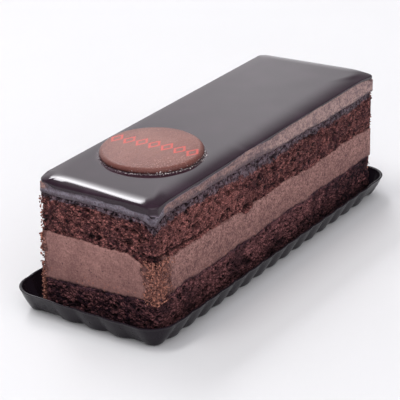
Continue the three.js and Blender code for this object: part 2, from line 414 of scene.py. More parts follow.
def outlineStations(spacing, halfLength, halfWidth, radius, cornerSteps=7):
    # walks a rounded rectangle anticlockwise: ax, ay place a point along the straight sides from
    # -1 to 1, and nx, ny point outwards, turning through each corner
    parts = []
    for start, n, along, isEnd in fourSides():
        straight = 2 * ((halfWidth if isEnd else halfLength) - radius)
        f = np.linspace(-1, 1, max(2, round(straight / spacing)) + 1)[:, None]
        side = np.hstack([n + along * f, np.repeat(n[None], len(f), 0)])
        angle = start + np.linspace(0, math.pi / 2, cornerSteps + 1)[1:-1]
        ax, ay = (np.full(angle.shape, v) for v in n + along)
        parts += [side, np.stack([ax, ay, np.cos(angle), np.sin(angle)], -1)]
    return np.concatenate(parts).T


def slicePoint(station, inset, trim, radius=cut["cornerRadius"]):
    # a rounded rectangle inset from the cut planes; its far end is skewed and trimmed back
    ax, ay, nx, ny = station
    px = ax * (cut["length"] / 2 - inset - radius) + nx * radius
    py = ay * (cut["width"] / 2 - inset - radius) + ny * radius
    farShare = np.maximum(0, px / (cut["length"] / 2))
    shift = farShare * (trim + cut["farSkew"] * py / (cut["width"] / 2))
    return cut["x"] + px - shift, cut["y"] + py


def seamHeight(seam, x, y):
    # a sloping plane with one slow wave and a quicker ripple
    slope = seam["middle"] + seam["alongX"] * x + seam["alongY"] * y
    wave = np.sin(x / seam["length"] * 2 * np.pi + seam["phase"] + y / 15)
    ripple = np.sin(x / seam["length"] * 5.3 * np.pi + 2 * seam["phase"] - y / 9)
    return slope + seam["wave"] * (wave + 0.4 * ripple)


def fromCorner(x, y, reach):
    # 1 at the near corner of the slice, falling away as a bell of that reach
    return np.exp(-((x - nearEnd) ** 2 + (y - nearSide) ** 2) / reach**2)


def ragged(x, y, seed, coarse, fine):
    # torn line: slow bites and quick crumbs
    p = flat(x, y)
    slow = valueNoise(p, 4.3, seed) + 0.6 * valueNoise(p, 1.7, seed + 1)
    return coarse * slow + fine * valueNoise(p, 0.55, seed + 2)


def onNearSide(y):
    # 1 on the near long side, 0 deep inside
    return smooth(nearSide - y, *cut["nearReach"])


def onNearEnd(x):
    # 1 on the near end, 0 deep inside
    return smooth(nearEnd - x, *cut["nearReach"])


def lineAt(line, u):
    # the line's level with its ramps and bells added
    height = np.full_like(u, line["level"])
    for rise, start, end in line.get("ramps", ()):
        height += rise * smooth(u, start, end)
    for rise, middle, width in line.get("bells", ()):
        height += rise * bell(u, middle, width)
    return height


def faceLines(inside, lines, x, y, sideShare=1.0, endShare=1.0):
    # the inside height, drawn over by the side line and then the end line on those two faces
    line = blend(inside, lineAt(lines["side"], x - nearEnd), onNearSide(y) * sideShare)
    return blend(line, lineAt(lines["end"], farSide - y), onNearEnd(x) * endShare)


def seamAt(seam):
    # the seam's height at each place: its lines, its torn edge and its dip under the drip of glaze
    def height(x, y):
        line = faceLines(seamHeight(seam, x, y), seam, x, y) + ragged(x, y, **seam["torn"])
        return line - seam.get("dip", 0) * fromCorner(x, y, cut["dripReach"])

    return height


# the relief of cut cake
crumbRelief = {
    "tear": 0.4, "tearSize": 1.2,    # the pits are pushed about by this much
    "back": 0.2, "crag": 0.2,
    "namedDent": 1.3, "namedPitShade": 0.9,
}
crumbPits = [    # balls of three sizes are bitten out, and small lumps stand forward; dark is how much painted shade a pit gets, less on the lumps
    {"cell": (3.2, 3.2, 1.9), "seed": 20, "share": 0.32, "dent": 0.9, "dark": 0.9},
    {"cell": (1.7, 1.7, 1.1), "seed": 40, "share": 0.5, "dent": 0.8, "dark": 1.1},
    {"cell": (0.95, 0.95, 0.66), "seed": 60, "share": 0.7, "dent": 0.45, "dark": 0.9},
    {"cell": (1.2, 1.2, 1.0), "seed": 80, "share": 0.8, "dent": -0.34, "dark": -0.4},
]


def crag(p):
    # two crossed waves that run out of step along and up the face, as in the source
    along = 2 * np.pi * (p[..., 0] + p[..., 1]) / cut["cragAlong"]
    up = 2 * np.pi * p[..., 2] / cut["cragUp"]
    coarse = np.sin(along / 3 + np.sin(up / 3)) * np.cos(up / 2 + along / 9)
    return (2 * coarse + np.sin(along - up)) / 3


def spongeRelief(p, s):
    # how far the torn crumb stands back, and how much painted shade its pits get: each field of pits adds
    # its share, and named pits (place, width, height) are sunk and shaded where they are
    r, seed = crumbRelief, s["seed"]
    push = np.stack([valueNoise(p, r["tearSize"], seed + k) for k in (1, 2, 3)], -1)
    torn = p + r["tear"] * push
    dent, pitShade, named = r["back"] + r["crag"] * crag(p), 0, 0
    for pit in crumbPits:
        field = pitField(torn, pit["cell"], seed + pit["seed"], pit["share"])
        dent = dent + pit["dent"] * field
        pitShade = pitShade + pit["dark"] * field
    for x, y, z, wide, tall in s["pits"]:
        across = ((torn[..., 0] - x) ** 2 + (torn[..., 1] - y) ** 2) / wide**2
        named = np.maximum(named, np.clip(1 - across - ((torn[..., 2] - z) / tall) ** 2, 0, 1))
    return dent + r["namedDent"] * named, np.clip(pitShade + r["namedPitShade"] * named, 0, 1)


def smoothRelief(p, s):
    # mousse: shallow drag of the knife and a few burst bubbles, which get painted shade
    seed = s["seed"]
    drag = valueNoise(p, (5.0, 5.0, 1.1), seed) + 0.5 * valueNoise(p, (2.2, 2.2, 0.7), seed + 1)
    bubbles = pitField(p, (2.3, 2.3, 2.1), seed + 2, 0.3, 0.06, 0.2)
    return s["drag"] * drag + 0.3 * bubbles, bubbles


def layerMesh(name, layer):
    # rows of points climb from the seam below to the seam above; the face stands at its outset less
    # its dents, and its two edges curl in towards flat caps that lie inside the cake
    station = outlineStations(layer["spacing"], cut["length"] / 2, cut["width"] / 2, cut["cornerRadius"])
    ex, ey = slicePoint(station, -layer["outset"], layer["trim"])
    low, high = layer["bottom"](ex, ey), layer["top"](ex, ey)
    rows = max(8, round(float((high - low).mean()) / layer["spacing"]))
    z = low + (high - low) * np.linspace(0, 1, rows + 1)[:, None]
    up, down = z - low, high - z
    face = np.stack([np.broadcast_to(ex, z.shape), np.broadcast_to(ey, z.shape), z], -1)
    dent, pitShade = layer["relief"](face)
    # the painted shade of the pits rides on the mesh as a mark, with the others
    marks = {"pitShade": pitShade, **{k: mark(face, up, down) for k, mark in layer["marks"].items()}}
    nearest = np.clip(np.minimum(up, down) / layer["curl"], 0, 1)
    inset = dent - layer["outset"] + layer["curl"] * (1 - np.sqrt(1 - (1 - nearest) ** 2))
    wall = np.stack([*slicePoint(station, inset, layer["trim"]), z], -1)
    cap = slicePoint(station, cut["capInset"], cut["capInset"])
    under, over = (np.stack([*cap, v], -1)[None] for v in (low - cut["capLift"], high + cut["capLift"]))
    poles = [(cut["x"], cut["y"], float(level.mean())) for level in (low, high)]
    padded = {k: np.pad(v, ((1, 1), (0, 0))) for k, v in marks.items()}
    return ringMesh(name, np.concatenate([under, wall, over]), poles, padded)


def crumbTones(t, s, lift=0.0):
    # cells of torn crumb, each with its own tint, with painted shade in the gaps sunk between them and in
    # the open pores; lift makes the crumb paler where it is above 0
    place = t.pushed(0.6, 1.6)
    stretch = (1.25, 1.25, 0.85)
    tint = t.red(t.cells(s["grain"], stretch=stretch, place=place, output=1))
    edge = t.cells(s["grain"], "DISTANCE_TO_EDGE", stretch, place)
    cloud, fine, patch = t.noise(1.7, 2.0, 0.55), t.noise(0.45, 3.0, 0.65), t.noise(6.0, 2.0)
    gap = edge.step(0.16, 0.03) * fine.step(0.3, 0.55)
    poreShade = t.cells(1.9, stretch=stretch, place=place).step(0.3, 0.16) * cloud.step(0.62, 0.45)
    crumb = t.over(
        t.mix((tint * 0.7 + cloud * 1.1 + fine * 1.5 - 1.2 + lift).clamped(), s["dark"], s["light"]),
        (patch.step(0.42, 0.68) * s["patch"], s["patchTone"]),
        # painted shade in the gaps and pores
        ((gap * 0.8 + poreShade * 0.85).clamped(), s["gap"]),
    )
    return crumb, edge.step(0.0, 0.3) * 0.7 + fine * 0.6 + cloud * 0.6 - poreShade


# lower sponge: soaked almost black, more so under the mousse
lowerSpongeSettings = {
    "spacing": 0.25, "outset": 0.35, "trim": 1.7, "curl": 0.3,
    "floor": 0.62, "seed": 100, "gloss": 0.15,
    "pits": [
        (-59.1, 7.5, 4.0, 1.6, 1.3), (-59.1, -6.0, 6.5, 1.8, 1.4), (-35.0, -20.9, 5.5, 2.0, 1.3),
        (-14.0, -20.9, 6.0, 2.6, 1.6), (20.0, -20.9, 5.5, 2.4, 1.4),
    ],
    "grain": 1.0,
    "dark": tone(33, 9, 22), "light": tone(154, 100, 101), "gap": tone(11, 4, 12),
    "patch": 0.62, "patchTone": tone(26, 11, 26),
    "soaked": tone(64, 42, 56),
}


def soakUnder(face, up, down):
    # how wet the crumb is, from the seam above down
    return smooth(down, 1.2 + 0.6 * valueNoise(face, (5, 5, 2), 71), 0.2)


def lowerSponge(t):
    # paler along the first part of the near side as painted light on that face, soaked at the top, darker
    # at the foot with painted shade where the tray's wall stands round it, and painted shade in its pits
    s = lowerSpongeSettings
    pitShade, soak = t.attribute("pitShade"), t.attribute("soak")
    # painted light: the first part of the near side is made paler than the near end
    onSide = t.axis(0).step(nearEnd + 0.5, nearEnd + 4) * t.axis(0).step(45, 10)
    crumb, height = crumbTones(t, s, onSide * 0.5 - 0.12)
    # painted shade: darker up the foot, inside the tray's wall
    foot = t.axis(2).step(7.5, 1.5) * 0.45
    wetSheen = (soak * 0.5 + t.noise(5.0, 2.0).step(0.45, 0.7) * 0.3).clamped()
    return {
        "Base Color": t.over(crumb, (soak * 0.5, s["soaked"]), (foot, s["gap"]), (pitShade * 0.9, s["gap"])),
        "Roughness": 0.82 - 0.35 * wetSheen,
        "Normal": t.bump(height, 0.5, 1.0),
    }


# upper sponge: red-brown crumb, wet under the glaze and greyed there, partly with painted sheen
upperSpongeSettings = {
    "spacing": 0.235, "outset": 0.3, "trim": 0.5, "curl": 0.3,
    "seed": 300, "gloss": 0.2,
    "slit": {"level": 25.6, "slope": -0.04, "until": 29, "fade": 5, "half": 0.42, "depth": 0.9},
    "pits": [
        (-21.1, -20.9, 31.0, 1.2, 0.9), (-23.1, -20.9, 26.6, 1.7, 0.8), (-12.0, -20.9, 23.6, 2.8, 1.1),
        (17.9, -20.9, 25.4, 1.7, 0.9), (38.9, -20.9, 28.0, 1.5, 1.4), (31.9, -20.9, 28.4, 0.9, 0.9),
        (31.9, -20.9, 30.6, 1.2, 0.6), (-33.0, -20.9, 27.4, 0.9, 0.5), (-59.1, 5.5, 29.4, 1.1, 0.8),
        (-59.1, -12.4, 28.6, 1.9, 1.4), (-59.1, -1.6, 27.4, 0.9, 1.0), (-59.1, -7.5, 37.0, 0.5, 0.7),
        (-59.1, -13.5, 35.4, 0.9, 0.6), (-59.1, 2.3, 35.3, 1.3, 0.8), (-59.1, -16.5, 31.2, 1.2, 0.7),
        (-59.1, -8.5, 31.6, 0.8, 0.6),
    ],
    "grain": 0.75,
    "dark": tone(57, 19, 25), "light": tone(180, 114, 108), "gap": tone(18, 6, 12),
    "patch": 0.35, "patchTone": tone(78, 45, 54),
    "wetSheenDark": tone(38, 27, 38), "wetSheenLight": tone(120, 104, 115),
}


def soakTop(face, up, down):
    # the wet band, greyed partly with painted sheen, hangs deepest about 50 mm along the near side
    u = face[..., 0] - nearEnd
    side = 2.8 + 0.8 * smooth(u, 78, 58) + 1.3 * bell(u, 50, 9)
    depth = blend(1.6, side, onNearSide(face[..., 1])) + 0.8 * valueNoise(face, (3, 3, 1.5), 72)
    return smooth(down, depth + 0.3, 0.4 * depth)


def upperRelief(p):
    # torn crumb, with a slit a little above the mousse along the first part of the near side; the slit gets
    # painted shade
    s = upperSpongeSettings["slit"]
    x, y, z = p[..., 0], p[..., 1], p[..., 2]
    dent, pitShade = spongeRelief(p, upperSpongeSettings)
    along = onNearSide(y) * smooth(x - nearEnd, s["until"], s["until"] - s["fade"])
    line = s["level"] + s["slope"] * (x - nearEnd) + ragged(x, y, 91, 0.25, 0.22)
    slit = along * bell(z, line, s["half"])
    return dent + s["depth"] * slit, np.clip(pitShade + slit, 0, 1)


def upperSponge(t):
    # paler along the first part of the near side, mottled grey where it is wet, the grey partly wet crumb
    # and partly painted sheen, and painted shade in its pits
    s = upperSpongeSettings
    pitShade, soak = t.attribute("pitShade"), t.attribute("soak")
    nearPart = t.axis(0).step(nearEnd + 0.5, nearEnd + 3) * t.axis(0).step(0, -25)
    crumb, height = crumbTones(t, s, nearPart * 0.3 - 0.07)
    wetSheenShare = (soak + t.noise(1.1, 3.0) * 1.4 - 0.7).step(0.2, 0.8)
    wetSheenTone = t.mix(t.noise(0.9, 3.0, 0.6).step(0.4, 0.6), s["wetSheenDark"], s["wetSheenLight"])
    return {
        "Base Color": t.over(crumb, (wetSheenShare * 0.85, wetSheenTone), (pitShade * 0.9, s["gap"])),
        "Roughness": 0.85 - 0.45 * soak,
        "Normal": t.bump(height, 0.5, 1.0),
    }


# thick mousse: even milk brown, with knife drag and crumbs dragged over the near corner
mousseSettings = {
    "spacing": 0.3, "outset": 0.38, "trim": 1.2, "curl": 0.3,
    "seed": 90, "drag": 0.07, "gloss": 0.3,
    "low": tone(133, 95, 90), "high": tone(147, 107, 101),
    "shade": tone(92, 61, 60), "pale": tone(172, 130, 122), "pitShade": tone(62, 36, 38),
    "fleck": tone(78, 50, 52), "warm": tone(160, 100, 82), "soaked": tone(52, 32, 40),
    "grain": 0.95,
    "dark": tone(86, 50, 50), "light": tone(188, 132, 118), "gap": tone(40, 18, 24),
    "patch": 0.3, "patchTone": tone(112, 74, 70),
}


def cornerSmear(face, *heights):
    # crumbs dragged over the two near upright corners, widest at the one between the near faces
    x, y = face[..., 0], face[..., 1]
    wobble = 1.4 * valueNoise(face, 1.6, 73) + 0.8 * valueNoise(face, 4.0, 76)
    right = smooth((x - nearEnd) + 1.6 * (y - nearSide) + wobble, 8.5, 4.0)
    left = smooth((x - nearEnd) * 0.7 + 1.8 * (farSide - y) + 0.7 * wobble, 3.2, 1.2)
    return np.maximum(right, left)


def mousseSoak(face, up, down):
    # the syrup climbs a little way into the mousse
    return smooth(up, 0.9 + 0.5 * valueNoise(face, (2.2, 2.2, 5), 77), 0.0)


def mousseRelief(p):
    # smooth, but lumpy with a few holes where crumbs are dragged over it; the bubbles and holes get painted
    # shade
    dent, pitShade = smoothRelief(p, mousseSettings)
    smear = cornerSmear(p)
    rough = pitField(p, (1.1, 1.1, 1.0), 95, 0.8)
    return dent + smear * (0.12 - 0.5 * rough), np.clip(pitShade + 0.5 * smear * (rough < 0.12), 0, 1)


def mousse(t):
    # knife drag, mottle and grain over the body, both stronger on the side, painted shade that grows
    # towards the foot, then what is soaked, the flecks and specks, the torn crumb of the smear, and painted
    # shade in the pits and holes
    s = mousseSettings
    pitShade, smear, soak = (t.attribute(k) for k in ("pitShade", "smear", "soak"))
    drag, mottle, grain = t.noise(1.6, 3.0, 0.6, (4, 4, 1)), t.noise(1.5, 4.0, 0.7), t.noise(0.55, 3.0, 0.6)
    onSide, level = t.axis(0).step(nearEnd + 0.8, nearEnd + 3), t.axis(2)
    fleck = t.cells(2.1).step(0.16, 0.1) + t.cells(1.5).step(0.26, 0.18) * onSide * 0.6
    crumb, height = crumbTones(t, s)
    smeared = (smear + t.noise(0.8, 2.0) * 0.8 - 0.4).step(0.35, 0.65)
    return {
        "Base Color": t.over(
            t.mix(t.noise(7.0, 2.0).step(0.35, 0.65), s["low"], s["high"]),
            (drag.step(0.48, 0.75) * 0.3, s["shade"]),
            (mottle.step(0.5, 0.66) * (0.25 + 0.55 * onSide), s["shade"]),
            (mottle.step(0.5, 0.36) * (0.2 + 0.45 * onSide), s["pale"]),
            (grain.step(0.48, 0.66) * (0.5 + 0.4 * onSide), s["shade"]),
            (grain.step(0.48, 0.32) * (0.4 + 0.35 * onSide), s["pale"]),
            # painted shade: darker towards the foot
            (level.step(22.0, 11.5) * 0.35, s["shade"]),
            (soak * 0.75, s["soaked"]),
            ((fleck * 0.75).clamped(), s["fleck"]),
            (t.cells(1.1).step(0.2, 0.14) * onSide * 0.5, s["pale"]),
            (t.cells(1.3).step(0.24, 0.16) * level.step(15.5, 13.0) * 0.6, s["warm"]),
            (smeared * 0.92, crumb),
            (pitShade * 0.6, s["pitShade"]),
        ),
        "Roughness": 0.62 + 0.15 * grain,
        "Normal": t.bump(height * smeared + grain * 0.8, 0.3, 0.9),
    }


# thin mousse under the glaze: pale on the sides, smeared grey and wet over the near end, the grey partly
# glaze film and partly painted sheen
thinMousseSettings = {
    "spacing": 0.3, "outset": 0.3, "trim": 0.0, "curl": 0.2,
    "seed": 400, "drag": 0.06, "gloss": 0.45,
    "near": tone(138, 103, 96), "far": tone(164, 134, 128), "pitShade": tone(60, 40, 46),
    "mottle": tone(112, 86, 90), "grain": tone(78, 56, 62), "pale": tone(182, 152, 144),
    "grey": tone(60, 50, 62), "paleGrey": tone(118, 110, 122),
    "wetSheen": tone(72, 58, 66), "poreShade": tone(40, 27, 36), "streak": tone(88, 70, 78),
}

# lower edge of the glaze: a drip at the near corner, a rise along the near side, and a bare place
# at the far corner of the near end. A wave has a height, size and seed, and a bump on the near side
# a height, middle, reach, size and seed
glazeEdge = {
    "side": {
        "level": 40.25, "ramps": [(0.82, 35, 43), (-1.0, 112, 121), (-2.8, 6.3, 1.8)],
        "bells": [(0.25, 46, 3), (-0.35, 60, 3)],
    },
    "end": {
        "level": 39.5, "ramps": [(1.0, 5.5, 2.5), (-0.6, 29, 33), (-1.4, 36.9, 39.5)],
        "bells": [(0.2, 17, 3), (-0.2, 24, 2)],
    },
    "hidden": 40.4, "hiddenWave": 0.3,
    "waves": [(0.15, 3.1, 61), (0.08, 1.2, 62)],
    "bumps": [(0.45, 48, 10, 1.9, 63), (0.22, 28, 22, 3.4, 64)],
    "most": 0.14,    # they rise by this much at most, so that the mousse behind stays covered
    "tuck": 0.15,    # how far up behind it the mousse reaches
}


def glazeLine(x, y, nx):
    # a wavy line on the hidden faces, lower on the end, and the two near faces' own lines
    wave = np.sin(x / 9 + y / 4) * np.sin(x / 23 + 0.8)
    hidden = glazeEdge["hidden"] - nx * nx + glazeEdge["hiddenWave"] * wave
    return faceLines(hidden, glazeEdge, x, y, 1 - nx * nx, nx * nx)


def glazeLip(x, y, nx):
    # that line with its waves and bumps
    p = flat(x, y)
    rise = sum(height * valueNoise(p, size, seed) for height, size, seed in glazeEdge["waves"])
    for height, middle, reach, size, seed in glazeEdge["bumps"]:
        rise = rise + height * onNearSide(y) * bell(x - nearEnd, middle, reach) * valueNoise(p, size, seed)
    return glazeLine(x, y, nx) + np.minimum(rise, glazeEdge["most"])


def thinMousseTop(x, y):
    # just inside the glaze's lower edge
    ends = np.maximum(smooth(nearEnd - x, -2.2, 0.3), smooth(x, 59.5, 61.5))
    return glazeLip(x, y, ends) + glazeEdge["tuck"]


def endSmear(face, *heights):
    # glaze dragged down over the near end and just round its corner, but not over the bare place
    x, y, z = face[..., 0], face[..., 1], face[..., 2]
    dragged = smooth(x + 1.5 * valueNoise(face, 3.0, 74), nearEnd + 6, nearEnd + 3)
    bare = bell(x, nearEnd, 5) * bell(y, farSide, 3.4) * smooth(z, 37.8, 38.8)
    return np.clip(dragged - 0.8 * bare, 0, 1)


def seamWetSheen(face, up, down):
    # grey wet streaks, their grey partly painted sheen, that climb from the sponge into the thin mousse,
    # higher on the nearer half of the near side
    nearHalf = onNearSide(face[..., 1]) * smooth(face[..., 0] - nearEnd, 80, 50)
    return smooth(up, 1.35 + 1.1 * nearHalf + 0.9 * valueNoise(face, (2.4, 2.4, 9), 75), 0.0)


def thinMousse(t):
    # mottle, streaks and grain over the body, grey where glaze is dragged (partly glaze film, partly
    # painted sheen, with a paler band of painted sheen near the top), then the wet streaks, also partly
    # painted sheen, painted shade in the pores and painted shade in the pits
    s = thinMousseSettings
    pitShade, smear, wetSheen = (t.attribute(k) for k in ("pitShade", "smear", "wetSheen"))
    grain, mottle = t.noise(0.5, 3.0, 0.65), t.noise(1.4, 3.0, 0.65, (1.6, 1.6, 1))
    streak = t.noise(1.1, 3.0, 0.6, (3.0, 1.0, 0.8)).step(0.46, 0.6) * t.axis(0).step(12, -15)
    # painted sheen: a paler grey band near the top of the smear
    rim = t.axis(2).bell(38.6, 0.9) * 0.6
    grey = t.mix((rim + mottle.step(0.38, 0.66) * 0.8).clamped(), s["grey"], s["paleGrey"])
    poreShade = t.cells(1.3, place=t.pushed(0.5, 1.2)).step(0.3, 0.15) * mottle.step(0.6, 0.45)
    return {
        "Base Color": t.over(
            t.mix(t.axis(0).step(-45, 5), s["near"], s["far"]),
            (mottle.step(0.44, 0.62) * 0.75, s["mottle"]),
            (streak * 0.75, s["streak"]),
            (grain.step(0.48, 0.34) * 0.4, s["pale"]),
            ((smear + mottle * 0.6 - 0.3).step(0.3, 0.7), grey),
            (grain.step(0.48, 0.64) * 0.7, s["grain"]),
            ((wetSheen + grain * 1.4 - 0.7).step(0.2, 0.8) * 0.65, s["wetSheen"]),
            (poreShade * (0.35 + 0.5 * smear), s["poreShade"]),
            (pitShade * 0.6, s["pitShade"]),
        ),
        "Roughness": 0.6 - 0.3 * smear,
        "Normal": t.bump(mottle * 0.6 + grain - poreShade, 0.26, 0.9),
    }


def buildLayers():
    # each layer lies between two seams; a mark is worked out from the face and from how far up it a
    # point lies and how far down from its top
    first, second, third = (seamAt(seam) for seam in (lowerSeam, middleSeam, upperSeam))
    lower = {
        "bottom": lambda x, y: np.full_like(x, lowerSpongeSettings["floor"]), "top": first,
        "relief": lambda p: spongeRelief(p, lowerSpongeSettings), "marks": {"soak": soakUnder},
    }
    thick = {
        "bottom": first, "top": second,
        "relief": mousseRelief, "marks": {"smear": cornerSmear, "soak": mousseSoak},
    }
    upper = {"bottom": second, "top": third, "relief": upperRelief, "marks": {"soak": soakTop}}
    thin = {
        "bottom": third, "top": thinMousseTop, "marks": {"smear": endSmear, "wetSheen": seamWetSheen},
        "relief": lambda p: smoothRelief(p, thinMousseSettings),
    }
    for name, settings, layer, surface, slot, node in (
        ("lowerSponge", lowerSpongeSettings, lower, lowerSponge, "soaked_sponge", "lower_sponge"),
        ("thickMousse", mousseSettings, thick, mousse, "mousse", "mousse"),
        ("upperSponge", upperSpongeSettings, upper, upperSponge, "sponge", "upper_sponge"),
        ("thinMousse", thinMousseSettings, thin, thinMousse, "mousse", "top_mousse"),
    ):
        material = makeMaterial(name + "Crumb", surface, {"Specular IOR Level": settings["gloss"]})
        finishPiece(layerMesh(name, {**settings, **layer}), material, slot, node)


buildLayers()


# mirror glaze: level top, broad soft shoulders on the sides, tight ones on the ends
roundPlace = (-29.7, 0.3)    # the middle of the round that lies on it
glazeSettings = {
    "outset": 0.45, "radius": 2.4, "farRadius": 2.2,
    "bed": ((4.0, 0.3), (0.8, 0.2)),             # inset, and rise above the lip, of the underside
    "sideWidth": 8.6, "sideDrop": 0.72, "turn": 0.16, "turnReach": 0.22,
    "laterDrop": 0.52, "laterFrom": (35, 55),    # the near side's drop past the middle of the slice
    "hiddenWidth": 5.0, "hiddenDrop": 0.3,       # the far long side
    "endWidth": 5.0, "endDrop": (1.3, 2.2), "endReach": 8.0,
    "farDrop": 0.95, "farReach": 9.0, "hiddenReach": 5.0,
    "lipRound": 0.1,
    "levelInset": 11.5,
    "cornerSag": 0.35, "sagReach": 3.0,
    "farSag": 0.75, "farSagReach": 4.2,
    "spacing": 0.3,
    "low": tone(34, 17, 29), "high": tone(43, 26, 38), "rim": tone(140, 126, 140),
    "frosted": tone(92, 76, 82), "frostedRing": (16.9, 15.2),    # radii where it fades out and is full
}


def glazeSag(s, x, y):
    # the top sinks as a bell at each end of the near side
    farEnd = nearEnd + cut["length"] + cut["farSkew"]
    far = np.exp(-((x - farEnd) ** 2 + (y - nearSide) ** 2) / s["farSagReach"] ** 2)
    return s["cornerSag"] * fromCorner(x, y, s["sagReach"]) + s["farSag"] * far


def glazeMesh(s):
    # from a bed inside, out along the underside, round the lip, up the edge and over the shoulder to
    # the level top: on the ends a quarter oval, deeper towards the far corner, and on the sides a
    # long slope with a small turn at its foot
    station = outlineStations(s["spacing"], cut["length"] / 2, cut["width"] / 2, s["radius"], 22)
    radius = blend(s["radius"], s["farRadius"], smooth(station[0], 0.5, 1.0))
    ex, ey = slicePoint(station, 0, 0, radius)
    toEnd = np.minimum(ex - nearEnd, cut["length"] - (ex - nearEnd))
    hidden = smooth(station[3], -0.3, 0.3)
    reach = blend(s["endReach"], s["farReach"], smooth(ex, -20, 20))
    reach = blend(reach, s["hiddenReach"], hidden)
    ends = np.maximum(station[2] ** 2, smooth(toEnd / reach, 1, 0.15))
    lip = glazeLip(ex, ey, station[2])
    room = cut["glazeTop"] - glazeLine(ex, ey, station[2]) - 2 * s["lipRound"] - 0.04
    cornerSag = glazeSag(s, ex, ey)
    sideDrop = blend(s["sideDrop"], s["laterDrop"], smooth(ex - nearEnd, *s["laterFrom"]))
    sideDrop = blend(sideDrop, s["hiddenDrop"], hidden) + s["turn"]
    endDrop = blend(*s["endDrop"], smooth(ey, -14, 12)) * (1 - 0.4 * smooth(ey, 11, 19))
    endDrop = blend(endDrop, s["farDrop"], smooth(ex, -20, 20))
    width = blend(blend(s["sideWidth"], s["hiddenWidth"], hidden), s["endWidth"], ends)
    drop = np.minimum(blend(sideDrop, endDrop, ends), room - cornerSag)
    rings, lipMark = [], []

    def ring(inset, z, mark=0.0, sagging=True):
        x, y = slicePoint(station, inset, 0, radius)
        sag = glazeSag(s, x, y) if sagging else 0
        rings.append(np.stack([x, y, np.broadcast_to(z - sag, x.shape)], -1))
        lipMark.append(np.full_like(x, mark))

    for inset, rise in s["bed"]:
        ring(inset, lip + rise, sagging=False)
    for angle in np.linspace(0, math.pi, 9):
        inset = s["lipRound"] * (1 + math.cos(angle)) - s["outset"]
        ring(inset, lip + s["lipRound"] * (1 - math.sin(angle)), 1.0, False)
    foot = lip + s["lipRound"]
    waist = np.maximum(cut["glazeTop"] - drop - cornerSag, foot + 0.05)
    for share in np.linspace(0, 1, 7)[1:-1]:
        mark = max(0.0, 0.6 - 2 * share)
        ring(-s["outset"], blend(foot, waist, share), mark, False)
    for share in np.linspace(0, 1, 29) ** 1.5:
        oval = math.acos(1 - share)
        across = s["sideWidth"] * share
        slope = (drop - s["turn"]) * (1 - share) ** 2.5 + s["turn"] * math.exp(-across / s["turnReach"])
        fall = blend(slope, drop * (1 - math.sin(oval)), ends)
        ring(width * share - s["outset"], cut["glazeTop"] - fall)
    for share in (0.1, 0.3, 0.6, 1.0):
        ring(blend(width - s["outset"], s["levelInset"], share), cut["glazeTop"])
    middle = (cut["x"], cut["y"])
    poles = [(*middle, cut["glazeTop"] - 2), (*middle, cut["glazeTop"])]
    return ringMesh("glazeCoat", np.array(rings), poles, {"lip": np.array(lipMark)})


def glaze(t):
    # dark brown with a faint swell, a pale thin rim along the lip of the near side, and a dull
    # frosted ring round the foot of the round
    s = glazeSettings
    swell, haze = t.noise(16.0, 1.0), t.noise(9.0, 3.0, 0.6)
    dx, dy = (t.axis(k) - roundPlace[k] for k in (0, 1))
    none, full = (radius**2 for radius in s["frostedRing"])
    frosted = (dx * dx + dy * dy).step(none, full) * t.noise(0.8, 3.0).step(0.3, 0.6)
    rim = t.attribute("lip") * t.axis(1).step(-19.5, -20.6) * t.axis(0).step(10, -15)
    body = t.mix(haze.step(0.4, 0.7), s["low"], s["high"])
    return {
        "Base Color": t.over(body, (frosted * 0.7, s["frosted"]), (rim * 0.7, s["rim"])),
        "Roughness": 0.05 + 0.05 * haze + 0.3 * rim + 0.4 * frosted,
        "Normal": t.bump(swell, 0.35, 0.2),
    }


mirror = makeMaterial("mirrorGlaze", glaze, {"IOR": 1.42})
finishPiece(glazeMesh(glazeSettings), mirror, "mirror_glaze", "glaze")


# the round of chocolate: a thin moulded disc with a soft edge
roundSettings = {
    "x": roundPlace[0], "y": roundPlace[1], "radius": 15.3,
    "base": cut["glazeTop"] + 0.02, "thickness": 2.0, "crown": 0.35,
    "rise": (0.0215, 0.0148),            # its face rises by this much for each mm along x and y
    "edge": 1.3, "foot": 0.5,
    "rowX": 1.3, "rowTurn": 0.12,        # the row of printed lozenges: off the middle, and its slant
    "pitch": 4.1, "tall": 2.5, "wide": 1.5, "stroke": 0.32, "rowHalf": 14.35,
    "low": tone(124, 82, 74), "high": tone(134, 91, 82), "bloom": tone(154, 113, 103),
    "dust": tone(180, 142, 132), "speck": tone(94, 60, 56),
    "edgeShade": tone(96, 54, 48), "underShade": tone(84, 42, 42), "pimpleHighlight": tone(200, 160, 148),
    "print": tone(196, 80, 72),
}


def roundMesh(s):
    # a profile turned about the middle: flat base, small foot, soft shoulder and a low crown; the
    # face is a little thicker towards the back
    shoulder = np.linspace(0, np.pi / 2, 15)
    face = s["base"] + s["thickness"]
    inner = np.linspace(1, 0.03, 16)
    r = np.concatenate([
        s["radius"] - np.array([3.0, s["foot"], 0.16, 0.02]),
        s["radius"] - s["edge"] * (1 - np.cos(shoulder)),
        (s["radius"] - s["edge"]) * inner[1:],
    ])
    z = np.concatenate([
        s["base"] + np.array([0, 0, 0.14, 0.35]),
        face - s["edge"] * (1 - np.sin(shoulder)),
        face + s["crown"] * (1 - inner[1:] ** 2),
    ])
    angle = np.linspace(0, 2 * np.pi, 361)[:-1]
    wobble = 1 + 0.004 * np.sin(3 * angle + 1) + 0.003 * np.sin(7 * angle)
    x = s["x"] + r[:, None] * wobble * np.cos(angle)
    y = s["y"] + r[:, None] * wobble * np.sin(angle)
    rise = s["rise"][0] * (x - s["x"]) + s["rise"][1] * (y - s["y"])
    p = np.stack([x, y, z[:, None] + rise * (z[:, None] - s["base"]) / s["thickness"]], -1)
    p[..., 2] += 0.02 * valueNoise(p, 4.0, 81) * (z[:, None] > face - 0.2)
    poles = [(s["x"], s["y"], s["base"]), (s["x"], s["y"], face + s["crown"])]
    return ringMesh("chocolateRound", p, poles)


